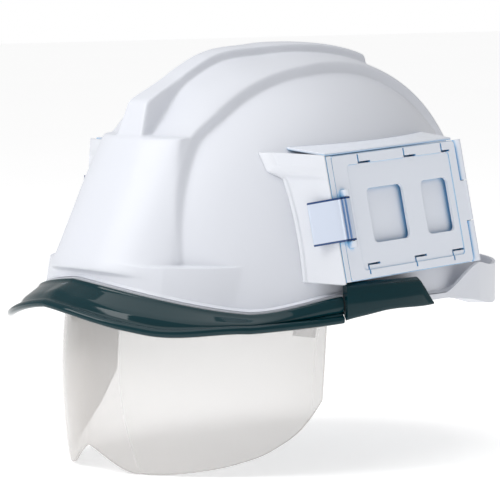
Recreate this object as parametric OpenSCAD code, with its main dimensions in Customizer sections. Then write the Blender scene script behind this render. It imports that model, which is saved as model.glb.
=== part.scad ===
// Hard hat with a pull-down face shield, clear brim and two card cases.
// Frame: +Z up, -Y front, +X the wearer's left, origin at the centre of the
// head opening, level with the front of the shell's rim.

/* [Shell] */
// Half width of the dome at the rim
dome_w = 104; // [102:1:108]
// Dome length in front of the origin
dome_front = 122; // [120:1:126]
// Dome length behind the origin
dome_rear = 133; // [131:1:138]
// Crown height of the plain dome above the origin
dome_top = 117; // [115:1:119]
// Thickness of the shell
shell_t = 2.5; // [2:0.1:2.6]
// Height of the mid band above the dome
band_h = 6; // [4:0.5:7]
// Height of the centre crest above the mid band
crest_h = 5.5; // [4:0.5:6]

/* [Brim] */
// Overhang of the brim at the front
brim_out = 24; // [20:1:28]
// Thickness of the brim's plate
brim_t = 2.4; // [2:0.1:3]

/* [Face shield] */
// Half width of the shield
shield_w = 93; // [91:0.5:93]
// Thickness of the shield
shield_t = 2; // [1.5:0.1:2.2]
// Travel of the shield from pulled down to stowed, degrees
shield_travel = 14; // [10:1:14]

/* [Card case] */
// Length of a card case
case_l = 106; // [100:1:108]
// Height of a card case
case_h = 69; // [66:1:72]
// Depth of a card case, door and tray together
case_d = 6; // [5.5:0.1:6.2]
// Radius of the hinge pins
pin_r = 1; // [0.9:0.05:1.1]

/* [Head cradle] */
// Half width of the headband
band_w = 76; // [74:1:76]
// Half length of the headband
band_l = 97; // [95:1:98]
// Height of the headband
headband_h = 30; // [26:1:32]
// Radius of the ratchet knob
knob_r = 13; // [11:0.5:14]

/* [Hidden] */
$fn = 48;

shell_white = "white";
clear_green = [0.05, 0.25, 0.22, 0.8];
clear_smoke = [0.85, 0.83, 0.8, 0.45];
clear_plastic = [0.85, 0.9, 0.95, 0.6];

// ---- outer surface of the shell ----
base_z = -27;                  // level at which the dome's sides are upright
exp_plan = 2;                  // exponents of the dome's superellipsoid
exp_rise = 2.3;
crown_back = 12;               // how far the crown lies behind the rim's centre
panel_r = 62;                  // plan radius of the front panel
panel_y = -135;                // front panel at its bottom, on the centre line
panel_z = 9;
panel_foot = 5;
panel_top = 79;
ledge_z = 10.5;                // top of the ledge under the panel
panel_lean = 27;
flare_top = 12;                // the rim flares out below this level
columns = 84;
rows = 20;

function clamp(v, lo, hi) = min(max(v, lo), hi);
function ramp(v, lo, hi) = let (t = clamp((v - lo) / (hi - lo), 0, 1)) t * t * (3 - 2 * t);
function mix(a, b, t) = a + (b - a) * t;
function smooth_max(a, b, k) = (a + b + sqrt((a - b) * (a - b) + k * k)) / 2;
function smooth_min(a, b, k) = (a + b - sqrt((a - b) * (a - b) + k * k)) / 2;

// The dome leans back as it rises
function dome_shift(z) = crown_back * pow(clamp((z - base_z) / (dome_top - base_z), 0, 1), 1.5);
// Negative inside the dome grown by g, in about millimetres
function dome(p, g) =
  let (
    flare = 6 * pow(clamp((flare_top - p[2]) / 36, 0, 1), 2),
    y = p[1] - dome_shift(p[2]),
    plan_sum = pow(abs(p[0]) / (dome_w + g + flare / 3), exp_plan)
      + pow(abs(y) / ((y < 0 ? dome_front + flare : dome_rear) + g), exp_plan),
    rise = pow(max(p[2] - base_z, 0) / (dome_top - base_z + g), exp_rise)
  )
  (pow(pow(plan_sum, exp_rise / exp_plan) + rise, 1 / exp_rise) - 1) * 110;

// The raised mid band over the top
function panel_half(z) = mix(51, 35, clamp((z - 13) / 64, 0, 1));
function band_half(y, z) =
  y < 0 ? mix(panel_half(z) + 0.5, 38, ramp(z, 78, 92)) : mix(38, 31, clamp(y / 55, 0, 1));
// The band is lower behind the front panel, and fuller along its middle in front of the crown
function band_rise(y, z) = band_h * (y < 0 ? mix(0.4, 1, ramp(z, 10, 75)) : 1);
function crown_lift(x, y) =
  3.5 * clamp(1 - pow(x / 38, 2), 0, 1) * ramp(y, -85, -62) * (1 - ramp(y, -45, -8));
function mid_band(p, g) =
  smooth_max(
    dome(p, g + band_rise(p[1], p[2]) + crown_lift(p[0], p[1])),
    abs(p[0]) - band_half(p[1], p[2]) - g, 1.5);

// The centre crest, narrow in front, ending in a step behind the crown
function crest_half(y) = clamp(12 + y * 0.1, 8, 14);
function crest(p, g) =
  smooth_max(
    smooth_max(
      dome(p, g + band_h + crest_h + crown_lift(p[0], p[1])),
      abs(p[0]) - crest_half(p[1]) - g, 1.5),
    abs(p[1] + 2) - 68 - g, 1.5);

// The block at the crest's front end
function crest_block(p, g) =
  smooth_max(
    smooth_max(
      (p[2] - 97.4 - g) * 0.894 - (p[1] + 94) * 0.447,
      -(p[1] + 97.5 + g) * 0.95 + (p[2] - 80) * 0.28, 1.5),
    smooth_max(abs(p[0]) - crest_half(p[1]) - 1 - g - (97 - p[2]) * 0.12, p[1] + 46, 1.5), 1.5);

// The upright front panel: a leaning cylinder cut to a tapered outline
function front_panel(p, g) =
  let (
    axis_y = panel_y + panel_r + (p[2] - panel_z) * tan(panel_lean),
    face = (norm([p[0], p[1] - axis_y]) - panel_r - g) * cos(panel_lean)
  )
  smooth_max(
    smooth_max(face, abs(p[0]) - panel_half(p[2]) - g, 1.5),
    smooth_max(p[2] - panel_top - g, panel_foot - g - p[2], 1.5), 1.5);

// The ledge under the front panel, running out to a point along each side
function ledge(p, g) =
  let (
    a = atan2(abs(p[0]), -p[1]),
    inset = mix(1.5, 9, clamp((a - 24) / 22, 0, 1)) + 0.15 * p[2]
  )
  smooth_max(norm([p[0], p[1]]) - rim_radius(a) - g + inset, p[2] - ledge_z - g, 0.6);

// Everything joined; g moves the whole surface in or out
function shell_value(p, g) =
  smooth_min(
    smooth_min(smooth_min(smooth_min(dome(p, g), mid_band(p, g), 1), ledge(p, g), 0.6), crest(p, g), 1),
    smooth_min(front_panel(p, g), crest_block(p, g), 1), 1);

// Distance from the dome's centre to the surface along a direction
function reach(d, g, lo = 60, hi = 190, n = 18) =
  n == 0 ? (lo + hi) / 2 :
  let (m = (lo + hi) / 2, p = d * m + [0, 0, base_z])
  shell_value(p, g) < 0 ? reach(d, g, m, hi, n - 1) : reach(d, g, lo, m, n - 1);

// Half width of the plain dome at a place along its side
function dome_x(y, z, g = 0) =
  let (
    level = pow(1 - pow(max(z - base_z, 0) / (dome_top - base_z + g), exp_rise), exp_plan / exp_rise),
    v = y - dome_shift(z),
    along = pow(abs(v) / ((v < 0 ? dome_front : dome_rear) + g), exp_plan)
  )
  (dome_w + g) * pow(max(level - along, 0), 1 / exp_plan);

// ---- rim line ----
// Plan angle folded to one side: 0 is the front, 180 the rear
function fold(a) = a > 180 ? 360 - a : abs(a);
// Level of the rim around the hat: high at the brow, low at the cheeks and nape
function rim_z(a) =
  let (b = fold(a))
  mix(0, -16.5, (clamp(b / 46, 0, 1) + ramp(b, 0, 46)) / 2)
  + 8.5 * ramp(b, 46, 76) - 4.7 * ramp(b, 84, 106) - 7.5 * ramp(b, 114, 142);
// Unit direction in plan; angle 0 is the front, 90 the wearer's left
function plan(a) = [sin(a), -cos(a), 0];
function rim_radius(a, g = 0) =
  let (
    d = plan(a),
    w = dome_w + 3 + g,
    l = (d[1] < 0 ? dome_front + 12 : dome_rear + 3) + g
  )
  1 / norm([d[0] / w, d[1] / l]);
function rim_point(a, out, z) = plan(a) * rim_radius(a, out) + [0, 0, z];

// How much of the rear gutter there is at an angle
function gutter(a) = ramp(-cos(a), 0.42, 0.62);

// ---- swept solids ----
// Faces of a closed tube of rings with the same number of points
function ring_faces(n_rings, n, closed) = [
  for (i = [0:n_rings - (closed ? 1 : 2)], j = [0:n - 1])
    let (a = i * n + j, b = i * n + (j + 1) % n, k = (i + 1) % n_rings)
    each [[a, b, k * n + (j + 1) % n], [a, k * n + (j + 1) % n, k * n + j]]
];
// A solid through a list of rings; an open one gets two end caps
module swept(rings, closed = false) {
  n = len(rings[0]);
  last = len(rings) - 1;
  caps = closed ? [] : [[for (j = [n - 1:-1:0]) j], [for (j = [0:n - 1]) last * n + j]];
  polyhedron(
    points = [for (r = rings) each r],
    faces = concat(ring_faces(len(rings), n, closed), caps),
    convexity = 8
  );
}
// A domed skin: section(a) lists the points from the inner crown edge out
// and round to the outer one, and both crowns close at a point
module domed(section, crown_in, crown_out) {
  n = len(section[0]);
  m = len(section);
  top = n * m;
  polyhedron(
    points = concat([for (s = section) each s], [crown_in, crown_out]),
    faces = [
      for (i = [0:m - 1]) let (k = (i + 1) % m)
        each concat(
          [for (j = [0:n - 2]) each [
            [i * n + j, k * n + j + 1, i * n + j + 1], [i * n + j, k * n + j, k * n + j + 1]]],
          [[i * n, top, k * n], [i * n + n - 1, k * n + n - 1, top + 1]])
    ], convexity = 10);
}
module both_sides(left) { mirror([left ? 0 : 1, 0, 0]) children(); }

// ---- shell ----
function dome_row(a, low, j, g) =
  let (e = mix(low, 90, j / rows), d = plan(a) * cos(e) + [0, 0, sin(e)])
  d * reach(d, g) + [0, 0, base_z];
function low_angle(a, rise) = atan((rim_z(a) - base_z + rise) / rim_radius(a));
function shell_section(a) =
  let (
    g = gutter(a),
    z = rim_z(a),
    lip_out = 1 + 8 * g,
    lip_top = z + 3 + 19 * g,
    low_out = low_angle(a, 5 + 5 * g),
    low_in = low_angle(a, 2)
  )
  concat(
    [for (j = [rows - 1:-1:0]) dome_row(a, low_in, j, -shell_t)],
    [rim_point(a, -shell_t, z), rim_point(a, lip_out, z), rim_point(a, lip_out, lip_top),
      rim_point(a, lip_out - 1.8, lip_top), rim_point(a, 0.2 + 0.6 * g, z + 3.4 + 3 * g)],
    [for (j = [0:rows - 1]) dome_row(a, low_out, j, 0)]);
module outer_shell() {
  color(shell_white)
    domed([for (i = [0:columns - 1]) shell_section(i * 360 / columns)],
      [0, 0, base_z + reach([0, 0, 1], -shell_t)], [0, 0, base_z + reach([0, 0, 1], 0)]);
}

// ---- brim and rim panels ----
brim_end = 72;                 // plan angle of the brim's ends
brim_step = 3;
function brim_width(a) = brim_out - 3 * ramp(abs(a), 5, 30) - 14 * ramp(abs(a), 28, 68);
function brim_drop(a) = 9.5 + 3 * ramp(abs(a), 0, 20) - 8 * ramp(abs(a), 24, 46) + 5 * ramp(abs(a), 48, 72);
// One section of the brim: a rolled bead against the rim, a plate and an edge bead
function brim_section(a) =
  let (
    z = rim_z(a) - 0.4,
    w = brim_width(a),
    dz = -brim_drop(a),
    ridge = 1.5 * (1 - ramp(abs(a), 0, 5)),
    bead = 2.6
  )
  [
    rim_point(a, -2, z - 4), rim_point(a, -2, z), rim_point(a, 1.4, z),
    rim_point(a, 1.7, z + 2.6), rim_point(a, 3.4, z + 2.8), rim_point(a, 4.6, z + 1),
    rim_point(a, mix(4.6, w, 0.5), z + dz * 0.42 + ridge), rim_point(a, w - 2 * bead, z + dz * 0.86),
    rim_point(a, w - bead, z + dz + bead), rim_point(a, w, z + dz + bead * 0.4),
    rim_point(a, w, z + dz - bead * 0.6), rim_point(a, w - bead, z + dz - bead),
    rim_point(a, w - 2 * bead, z + dz * 0.9 - brim_t),
    rim_point(a, mix(4.6, w, 0.5), z + dz * 0.45 + ridge - brim_t)
  ];
module front_brim() {
  color(clear_green)
    swept([for (a = [-brim_end:brim_step:brim_end]) brim_section(a)]);
}

panel_start = 72.6;            // plan angles between which a rim panel runs
panel_end = 104;
cover_cut = 5;                 // length of its slanted rear end, degrees
cover_top = 1.2;               // level of its upper edge
cover_drop = [11, 1.5];        // depth of its lower edge below the rim, front and rear
function rim_panel_section(a) =
  let (
    z = rim_z(a),
    cut = clamp((a - panel_end + cover_cut) / cover_cut, 0, 1),
    top = mix(cover_top, z + 1.5, cut),
    drop = mix(cover_drop[0], cover_drop[1], (a - panel_start) / (panel_end - panel_start))
  )
  [
    rim_point(a, 1.5, z - 0.57 * drop), rim_point(a, 1.5, top), rim_point(a, 3.5, top + 0.8),
    rim_point(a, 7, top - mix(2, 1, cut)), rim_point(a, 8, z - 0.86 * drop), rim_point(a, 6, z - drop)
  ];
module rim_panel(left) {
  color(clear_green)
    both_sides(left)
      swept([for (i = [0:24]) rim_panel_section(mix(panel_start, panel_end, i / 24))]);
}

// ---- face shield ----
// The shield is a surface of revolution about this level axis, so it slides
// up inside the shell along its own curve
axis_y = 128;
axis_z = -55;
shield_front = 129;            // the shield's front, before the origin
shield_rear = 32;              // its rear edges, before the origin
shield_exp = 1.7;
shield_steps = 26;
slot_turn = 1.5;               // slack at each end of a slider's travel, degrees
module on_shield_axis() {
  translate([0, axis_y, axis_z]) rotate([0, 90, 0]) children();
}
// Plan curve of the shield, measured from its axis; t runs across the face
function shield_x(t, inset) = (shield_w - inset) * sin(t);
function shield_reach(t, inset) =
  let (depth = shield_front - 30 - inset)
  axis_y + 30 + depth * pow(1 - pow(abs(sin(t)), shield_exp), 1 / shield_exp);
function shield_curve(inset) = [
  for (i = [-shield_steps:shield_steps])
    let (t = i * 86.5 / shield_steps)
    [shield_reach(t, inset), shield_x(t, inset)]
];
shield_low = -12.6;            // the band of revolution, degrees above level
shield_high = 18;
// The outline seen from the front: two lobes and a notch for the nose
module shield_front_outline() {
  rotate([90, 0, 0])
    linear_extrude(400, center = true)
      difference() {
        translate([-shield_w - 5, -104.5]) square([2 * shield_w + 10, 104.5]);
        polygon([[-24, -106], [-19, -101.5], [-12, -96], [-6, -91.5], [0, -90],
          [6, -91.5], [12, -96], [19, -101.5], [24, -106]]);
      }
}
// The outline seen from the side: a level top and a cut-away lower rear corner
module shield_side_outline() {
  rotate([90, 0, 90])
    linear_extrude(400, center = true)
      polygon([[-140, -6], [-70, -11], [-shield_rear, -10], [-shield_rear - 4, -64], [-40, -70],
        [-51, -82.5], [-68, -93.5], [-86, -100], [-104, -104], [-118, -105], [-140, -105]]);
}
module face_shield() {
  color(clear_smoke)
    difference() {
      intersection() {
        on_shield_axis()
          rotate([0, 0, 270 - shield_high])
            rotate_extrude(angle = shield_high - shield_low)
              polygon(concat(shield_curve(0), [
                for (i = [2 * shield_steps:-1:0]) shield_curve(shield_t)[i]]));
        shield_front_outline();
        shield_side_outline();
      }
      for (left = [true, false]) both_sides(left) slider_screw_places() cylinder(h = 30, r = screw_r + 0.05);
    }
}

// ---- shield guides ----
rail_r = 172;                  // radius of the guide slot about the shield's axis
rail_x = 82;                   // inner face of a rail
rail_t = 3;
rail_h = 14;
slot_h = 5;
slider_angle = 14.5;           // where the sliders stand when the shield is down
slider_half = 3;               // half length of a slider, degrees
screw_r = 1;
// A stretch of ring about the shield's axis; angles are above level, at the front
module guide_arc(w, x, t, low, high) {
  on_shield_axis()
    translate([0, 0, x])
      rotate([0, 0, 270 - high])
        rotate_extrude(angle = high - low, $fn = 180)
          translate([rail_r - w / 2, 0]) square([w, t]);
}
// Places on the guide circle, looking outward along X
module slider_screw_places() {
  for (turn = [-2, 2])
    on_shield_axis() rotate([0, 0, 270 - slider_angle - turn]) translate([rail_r, 0, rail_x - 4]) children();
}
module shield_rail(left) {
  color("white")
    both_sides(left)
      difference() {
        guide_arc(rail_h, rail_x, rail_t, slider_angle - 6, slider_angle + shield_travel + 6);
        guide_arc(slot_h, rail_x - 1, rail_t + 2, slider_angle - 3, slider_angle + shield_travel + 3);
      }
}
// A flanged shoe: its neck runs in the slot and its two plates hold the rail between them
module shield_slider(left) {
  color("white")
    both_sides(left)
      difference() {
        union() {
          guide_arc(slot_h - 0.5, rail_x - 0.4, rail_t + 0.8, slider_angle - 2.6, slider_angle + 2.6);
          for (x = [rail_x - 2, rail_x + rail_t + 0.4])
            guide_arc(rail_h - 5, x, 1.6, slider_angle - slider_half, slider_angle + slider_half);
        }
        slider_screw_places() cylinder(h = 12, r = screw_r + 0.05);
      }
}
module shield_screws() {
  color("silver")
    for (left = [true, false])
      both_sides(left)
        slider_screw_places() {
          cylinder(h = 12.6, r = screw_r);
          translate([0, 0, 0.6]) cylinder(h = 1.3, r = 2.1);
        }
}

// ---- liner and head cradle ----
liner_z = 50;                  // level of the liner's lower edge
liner_gap = 8;
liner_t = 13;
// A point on a smaller dome inside the shell, at a fraction of its height
function inner_dome(a, low_z, t, g) =
  let (
    h = dome_top - base_z - g,
    low = asin(pow((low_z - base_z) / h, exp_rise / 2)),
    e = mix(low, 90, t),
    z = base_z + h * pow(sin(e), 2 / exp_rise),
    d = plan(a),
    r = 1 / norm([d[0] / (dome_w - g), d[1] / ((d[1] < 0 ? dome_front - 16 : dome_rear) - g)])
  )
  d * r * pow(cos(e), 2 / exp_rise) + [0, dome_shift(z), z];
module foam_liner() {
  n = 9;
  color("ivory")
    domed([for (i = [0:47]) let (a = i * 7.5) concat(
        [for (j = [n:-1:0]) inner_dome(a, liner_z, j / (n + 1), liner_gap + liner_t)],
        [for (j = [0:n]) inner_dome(a, liner_z, j / (n + 1), liner_gap)])],
      inner_dome(0, liner_z, 1, liner_gap + liner_t), inner_dome(0, liner_z, 1, liner_gap));
}
// Direction square to the shell's surface at a point
function slope(p, step) = shell_value(p + step, 0) - shell_value(p - step, 0);
function square_to_shell(p) =
  let (n = [slope(p, [1, 0, 0]), slope(p, [0, 1, 0]), slope(p, [0, 0, 1])])
  n / norm(n);
pad_t = 3.6;
pad_r = 8;
pad_rise = 46;                 // elevation of the pads from the dome's centre
// Round pads between the liner and the sides of the shell
module liner_pads() {
  color("dimgray")
    for (a = [92, 130], left = [true, false])
      let (
        d = plan(a) * cos(pad_rise) + [0, 0, sin(pad_rise)],
        p = d * reach(d, -shell_t) + [0, 0, base_z],
        n = square_to_shell(p)
      )
      both_sides(left)
        translate(p - n * (pad_t + 0.8)) rotate([0, acos(n[2]), atan2(n[1], n[0])]) cylinder(h = pad_t, r = pad_r);
}

headband_z = -12;              // lower edge of the headband
headband_t = 1.6;
function oval(a, g) = let (d = plan(a)) d / norm([d[0] / (band_w + g), d[1] / (band_l + g)]);
function lifted(p, z) = [p[0], p[1], z];
// An upright band round the head between two plan angles
module oval_band(g, t, low, high, from, to, step = 4) {
  n = ceil((to - from) / step);
  swept([for (i = [0:n]) let (a = mix(from, to, i / n)) [
    lifted(oval(a, g - t), low), lifted(oval(a, g - t), high),
    lifted(oval(a, g), high), lifted(oval(a, g), low)]]);
}
module headband() {
  color("lightgray") oval_band(0, headband_t, headband_z, headband_z + headband_h, -146, 146);
}
module brow_pad() {
  color("slategray")
    oval_band(-headband_t - 0.3, 4, headband_z + 1, headband_z + headband_h - 1, -56, 56, 7);
}

strap_angles = [35, 90, 145];
strap_w = 18;
strap_t = 1.2;
strap_inset = 3.6;             // from the headband's outer face
strap_lift = 2.6;              // each strap crosses this much above the one before
cradle_top = 64;
cradle_exp = 1.8;              // exponent of the arch's curve
// A strap arches over the head, from the headband on one side to the other
module cradle_strap(a, lift) {
  low = headband_z + headband_h + 1;
  high = cradle_top + lift;
  across = [cos(a), sin(a), 0] * strap_w / 2;
  power = 2 / cradle_exp;
  swept([for (i = [0:28]) let (
      e = mix(0, 180, i / 28),
      outward = plan(a) * cos(e),
      r = norm(oval(cos(e) > 0 ? a : a + 180, -strap_inset)),
      p = outward * r * pow(abs(cos(e)), power - 1) + [0, 0, low + (high - low) * pow(sin(e), power)],
      q = p + (outward + [0, 0, sin(e)]) * strap_t
    )
    [p - across, p + across, q + across, q - across]]);
}
module cradle_straps() {
  color("gainsboro")
    for (i = [0:2]) cradle_strap(strap_angles[i], i * strap_lift);
}
clip_w = 14;
clip_t = 2.4;
clip_knee = 34;                // above this level a hanger leans in to the liner
// Hangers from the outside of the headband up to the liner's lower edge
module hanger_clips() {
  color("darkgray")
    for (a = strap_angles, left = [true, false])
      let (
        foot = oval(a, 0.7),
        edge = inner_dome(a, liner_z, 0, liner_gap + liner_t / 2),
        square = [foot[0] / pow(band_w, 2), foot[1] / pow(band_l, 2), 0],
        out = square / norm(square),
        along = [-out[1], out[0], 0] * clip_w / 2
      )
      both_sides(left)
        swept([for (p = [lifted(foot, 0), lifted(foot, clip_knee), lifted(edge, liner_z - 0.4)])
          [p - along, p + along, p + along + out * clip_t, p - along + out * clip_t]]);
}

// ---- nape adjuster ----
nape_rear = band_l + 1;        // rear face of the nape band
knob_y = nape_rear + 9.9;
module nape_band() {
  color("lightgray")
    difference() {
      oval_band(-headband_t - 1.8, 2, headband_z, headband_z + 26, 118, 242);
      translate([0, nape_rear, 0]) rotate([90, 0, 0]) cylinder(h = 30, r = 2.6, center = true);
    }
}
module ratchet_housing() {
  color("gray")
    difference() {
      hull()
        for (x = [-20, 20])
          translate([x, nape_rear + 6, 0]) rotate([90, 0, 0]) cylinder(h = 8, r = 11, $fn = 32);
      translate([0, nape_rear, 0]) rotate([90, 0, 0]) cylinder(h = 3.4, r = 6.4, center = true);
      translate([0, nape_rear, 0]) rotate([90, 0, 0]) cylinder(h = 40, r = 2.55, center = true);
    }
}
knob_ribs = 14;
module ratchet_knob() {
  color("dimgray")
    translate([0, knob_y, 0]) rotate([90, 0, 0]) {
      difference() {
        cylinder(h = 7, r = knob_r, center = true);
        for (i = [0:knob_ribs - 1]) rotate([0, 0, i * 360 / knob_ribs])
            translate([knob_r + 0.6, 0, 0]) cylinder(h = 8, r = 1.6, center = true);
      }
      translate([0, 0, 3.4]) cylinder(h = 11.6, r = 2.5);
    }
}
pinion_teeth = 10;
module ratchet_pinion() {
  color("white")
    translate([0, nape_rear + 1.2, 0]) rotate([90, 0, 0])
      difference() {
        union() {
          cylinder(h = 2.4, r = 4.4);
          for (i = [0:pinion_teeth - 1]) rotate([0, 0, i * 360 / pinion_teeth])
              translate([4, -0.7, 0]) cube([2, 1.4, 2.4]);
        }
        translate([0, 0, -1]) cylinder(h = 5, r = 2.55);
      }
}

// ---- card cases ----
// The case's own frame: x out of its face, y rearward, z up its front edge
case_at = [117, -39.3, 2.6];
case_yaw = 5.34;
case_pitch = 2.6;
case_lean = 11;
module in_case(left) {
  both_sides(left)
    translate(case_at)
      rotate([0, 0, case_yaw])
        rotate([case_pitch, 0, 0])
          rotate([0, -case_lean, 0])
            children();
}
// The same placement for a point
function turn_x(p, t) = [p[0], p[1] * cos(t) - p[2] * sin(t), p[1] * sin(t) + p[2] * cos(t)];
function turn_y(p, t) = [p[0] * cos(t) + p[2] * sin(t), p[1], -p[0] * sin(t) + p[2] * cos(t)];
function turn_z(p, t) = [p[0] * cos(t) - p[1] * sin(t), p[0] * sin(t) + p[1] * cos(t), p[2]];
function from_case(p) = case_at + turn_z(turn_x(turn_y(p, -case_lean), case_pitch), case_yaw);

door_t = 2.3;
hinge_r = 2.6;                 // radius of the hinge knuckles
hinge_x = -2.2;
hinge_y = case_l + 1;
knuckle = case_h / 3;
latch_low = 22;
latch_high = 46;
latch_x = 2.1;                 // latch pin, just proud of the door
latch_y = 7;
latch_r = 2;
pin_gap = 0.05;
module rounded_slab(x, t, y0, z0, w, h, r) {
  translate([x, y0, z0])
    rotate([90, 0, 90])
      linear_extrude(t)
        union() {
          translate([r, 0]) square([w - 2 * r, h]);
          translate([0, r]) square([w, h - 2 * r]);
          for (u = [r, w - r], v = [r, h - r]) translate([u, v]) circle(r);
        }
}
module upright(x, y, z0, h, r) { translate([x, y, z0]) cylinder(h = h, r = r); }
module case_tray(left) {
  color(clear_plastic)
    in_case(left)
      difference() {
        union() {
          rounded_slab(-case_d, case_d - door_t - 0.3, 0, 0, case_l - 2.6, case_h, 2);
          translate([-case_d, -0.9, 0]) cube([case_d, 3.4, case_h]);
          for (z = [0, 2 * knuckle]) {
            upright(hinge_x, hinge_y, z, knuckle, hinge_r);
            translate([-case_d, case_l - 4, z]) cube([case_d - door_t - 0.3, 5, knuckle]);
          }
        }
        translate([-case_d + 1.4, 5, 3]) cube([case_d, case_l - 12, case_h - 4]);
        upright(hinge_x, hinge_y, -1, case_h + 2, pin_r + pin_gap);
      }
}
window_z = 19;
window_h = 30;
tab_w = 10;
tab_drop = 5;
module case_door(left) {
  color(clear_plastic)
    in_case(left)
      difference() {
        union() {
          rounded_slab(-door_t, door_t, 2.8, 0.5, case_l - 6, case_h - 1, 2);
          upright(hinge_x, hinge_y, knuckle + 0.3, knuckle - 0.6, hinge_r);
          translate([-door_t, case_l - 5, knuckle + 0.3]) cube([door_t, 5.4, knuckle - 0.6]);
          for (z = [latch_low - 3.8, latch_high + 0.3]) {
            upright(latch_x, latch_y, z, 3.5, latch_r);
            translate([-0.5, latch_y - latch_r, z]) cube([2.6, 2 * latch_r, 3.5]);
          }
        }
        rounded_slab(-0.6, 2, 14, 5, case_l - 23, case_h - 11, 2);
        rounded_slab(-4, 6, 26.5, window_z, 29, window_h, 3);
        rounded_slab(-4, 6, 70.5, window_z, 22, window_h, 3);
        for (y = [23, 60, 91]) translate([-4, y, case_h - 6]) cube([6, 1, tab_drop]);
        for (y = [23, 60, 91]) translate([-4, y, case_h - 6]) cube([6, y > 80 ? 7 : tab_w, 1]);
        for (y = [18, 56, 87]) translate([-4, y, 2.5]) cube([6, 1, tab_drop]);
        for (y = [18, 56, 87]) translate([-4, y, 2.5 + tab_drop]) cube([6, tab_w, 1]);
        upright(hinge_x, hinge_y, -1, case_h + 2, pin_r + pin_gap);
        upright(latch_x, latch_y, 0, case_h, pin_r + pin_gap);
      }
}
// The latch wraps the case's front corner and lies on the bracket's slanted face
module case_latch(left) {
  color(clear_plastic)
    in_case(left)
      difference() {
        union() {
          upright(latch_x, latch_y, latch_low, latch_high - latch_low, latch_r);
          translate([0, 0, latch_low])
            linear_extrude(latch_high - latch_low)
              polygon([[latch_x - 1.2, latch_y], [0.7, -1.2], [-11.3, -8.1], [-11.9, -9.5], [-10.6, -9.6],
                [1, -3.1], [2.9, -1.6], [latch_x + 1.6, 1], [latch_x + 1.9, latch_y]]);
          for (y = [-1, 1.6, 4.2])
            translate([latch_x + 0.6, y, latch_low + 1]) cube([2, 1, latch_high - latch_low - 2]);
        }
        upright(latch_x, latch_y, 0, case_h, pin_r + pin_gap);
      }
}
module door_pin(left) {
  color("silver") in_case(left) upright(hinge_x, hinge_y, 0, case_h, pin_r);
}
module latch_pin(left) {
  color("silver")
    in_case(left) upright(latch_x, latch_y, latch_low - 3.8, latch_high - latch_low + 7.6, pin_r);
}

// A wedge from the shell out to the case's front corner; its top reaches
// further forward as a horn that lies along the shell
horn_h = 11;
bracket_levels = [-1, 11, 23, 35, 47, 56, 60, 66, 70];
module case_bracket(left) {
  function shell_at(y, z, out) = [dome_x(y, z) + out, y, z];
  function level(z) =
    let (
      outer = from_case([-0.1, -1.3, z]),
      back = from_case([-case_d, -1.3, z]),
      horn = ramp(z, case_h - horn_h - 3, case_h - horn_h + 2),
      front = -51 - 6 * horn,
      w = outer[2]
    )
    [outer, from_case([-2, -2.4, z]), shell_at(-50 - 3 * horn, w, 2.4 + 2.5 * horn), shell_at(front, w, 2.4),
      shell_at(front - 0.5, w, 0.8), shell_at(-43, w - 0.5, 0.8), back];
  color(shell_white)
    both_sides(left) swept([for (z = bracket_levels) level(z)]);
}
module rod(from, to, r) {
  d = to - from;
  translate(from) rotate([0, acos(d[2] / norm(d)), atan2(d[1], d[0])]) cylinder(h = norm(d), r = r);
}
// Screws run inside the bracket, from the tray's corner into the shell
module bracket_screws() {
  color("silver")
    for (left = [true, false], z = [12, 56])
      both_sides(left)
        let (
          head = from_case([-3.6, 1, z]),
          y = -46.6,
          foot = [dome_x(y, head[2]) - 1, y, head[2] - 0.6]
        )
        rod(head, foot, 1.2);
}
// A thin flange from the top of the case up to the shell
module top_flange(left) {
  function place(y) =
    let (outer = from_case([-3, y, case_h + 0.3]), w = outer[1], z = outer[2] + 2.2)
    [outer, [dome_x(w, z) + 0.4, w, z], [dome_x(w, z + 1.4) + 0.4, w, z + 1.4], outer + [0, 0, 1.4]];
  color(clear_plastic)
    both_sides(left) swept([for (i = [0:12]) place(mix(1, case_l - 2, i / 12))]);
}

// ---- chin strap anchors ----
anchor_hole_r = 2.5;
anchor_t = 4;
anchor_z = -4;                 // underside of an anchor
anchor_w = 14;
anchor_x = 91;                 // centre of the hole in the front anchors
anchor_step = 7;               // how much further in the rear ones are
anchor_y = [12, 44];
// Shelves inside the shell's rim, each with an upright hole for a strap's stud
module strap_anchors() {
  function wall(y, z) = [dome_x(y, z, -shell_t) - 0.1, y, z];
  function place(x, y) = [
    [x - 7, y, anchor_z], wall(y, anchor_z), wall(y, anchor_z + anchor_t), [x - 7, y, anchor_z + anchor_t]];
  color("white")
    for (left = [true, false], y = anchor_y)
      let (x = anchor_x - (y == anchor_y[0] ? 0 : anchor_step))
      both_sides(left)
        difference() {
          swept([for (i = [0:6]) place(x, y + anchor_w * (i / 6 - 0.5))]);
          translate([x, y, anchor_z - 1]) cylinder(h = anchor_t + 2, r = anchor_hole_r);
        }
}

outer_shell();
front_brim();
rim_panel(true);  // left_rim_panel
rim_panel(false);  // right_rim_panel
face_shield();
shield_rail(true);  // left_shield_rail
shield_rail(false);  // right_shield_rail
shield_slider(true);  // left_shield_slider
shield_slider(false);  // right_shield_slider
shield_screws();
foam_liner();
headband();
brow_pad();
cradle_straps();
hanger_clips();
nape_band();
ratchet_housing();
ratchet_knob();
ratchet_pinion();
case_bracket(true);  // left_case_bracket
case_bracket(false);  // right_case_bracket
case_tray(true);  // left_case_tray
case_tray(false);  // right_case_tray
case_door(true);  // left_case_door
case_door(false);  // right_case_door
case_latch(true);  // left_case_latch
case_latch(false);  // right_case_latch
door_pin(true);  // left_door_pin
door_pin(false);  // right_door_pin
latch_pin(true);  // left_latch_pin
latch_pin(false);  // right_latch_pin
top_flange(true);  // left_top_flange
top_flange(false);  // right_top_flange
bracket_screws();
strap_anchors();
liner_pads();
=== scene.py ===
"""A white hard hat with a clear green brim, a pull-down face shield and card cases.

Lengths are in millimetres until they reach Blender, which takes metres.
"""
import math

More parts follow.
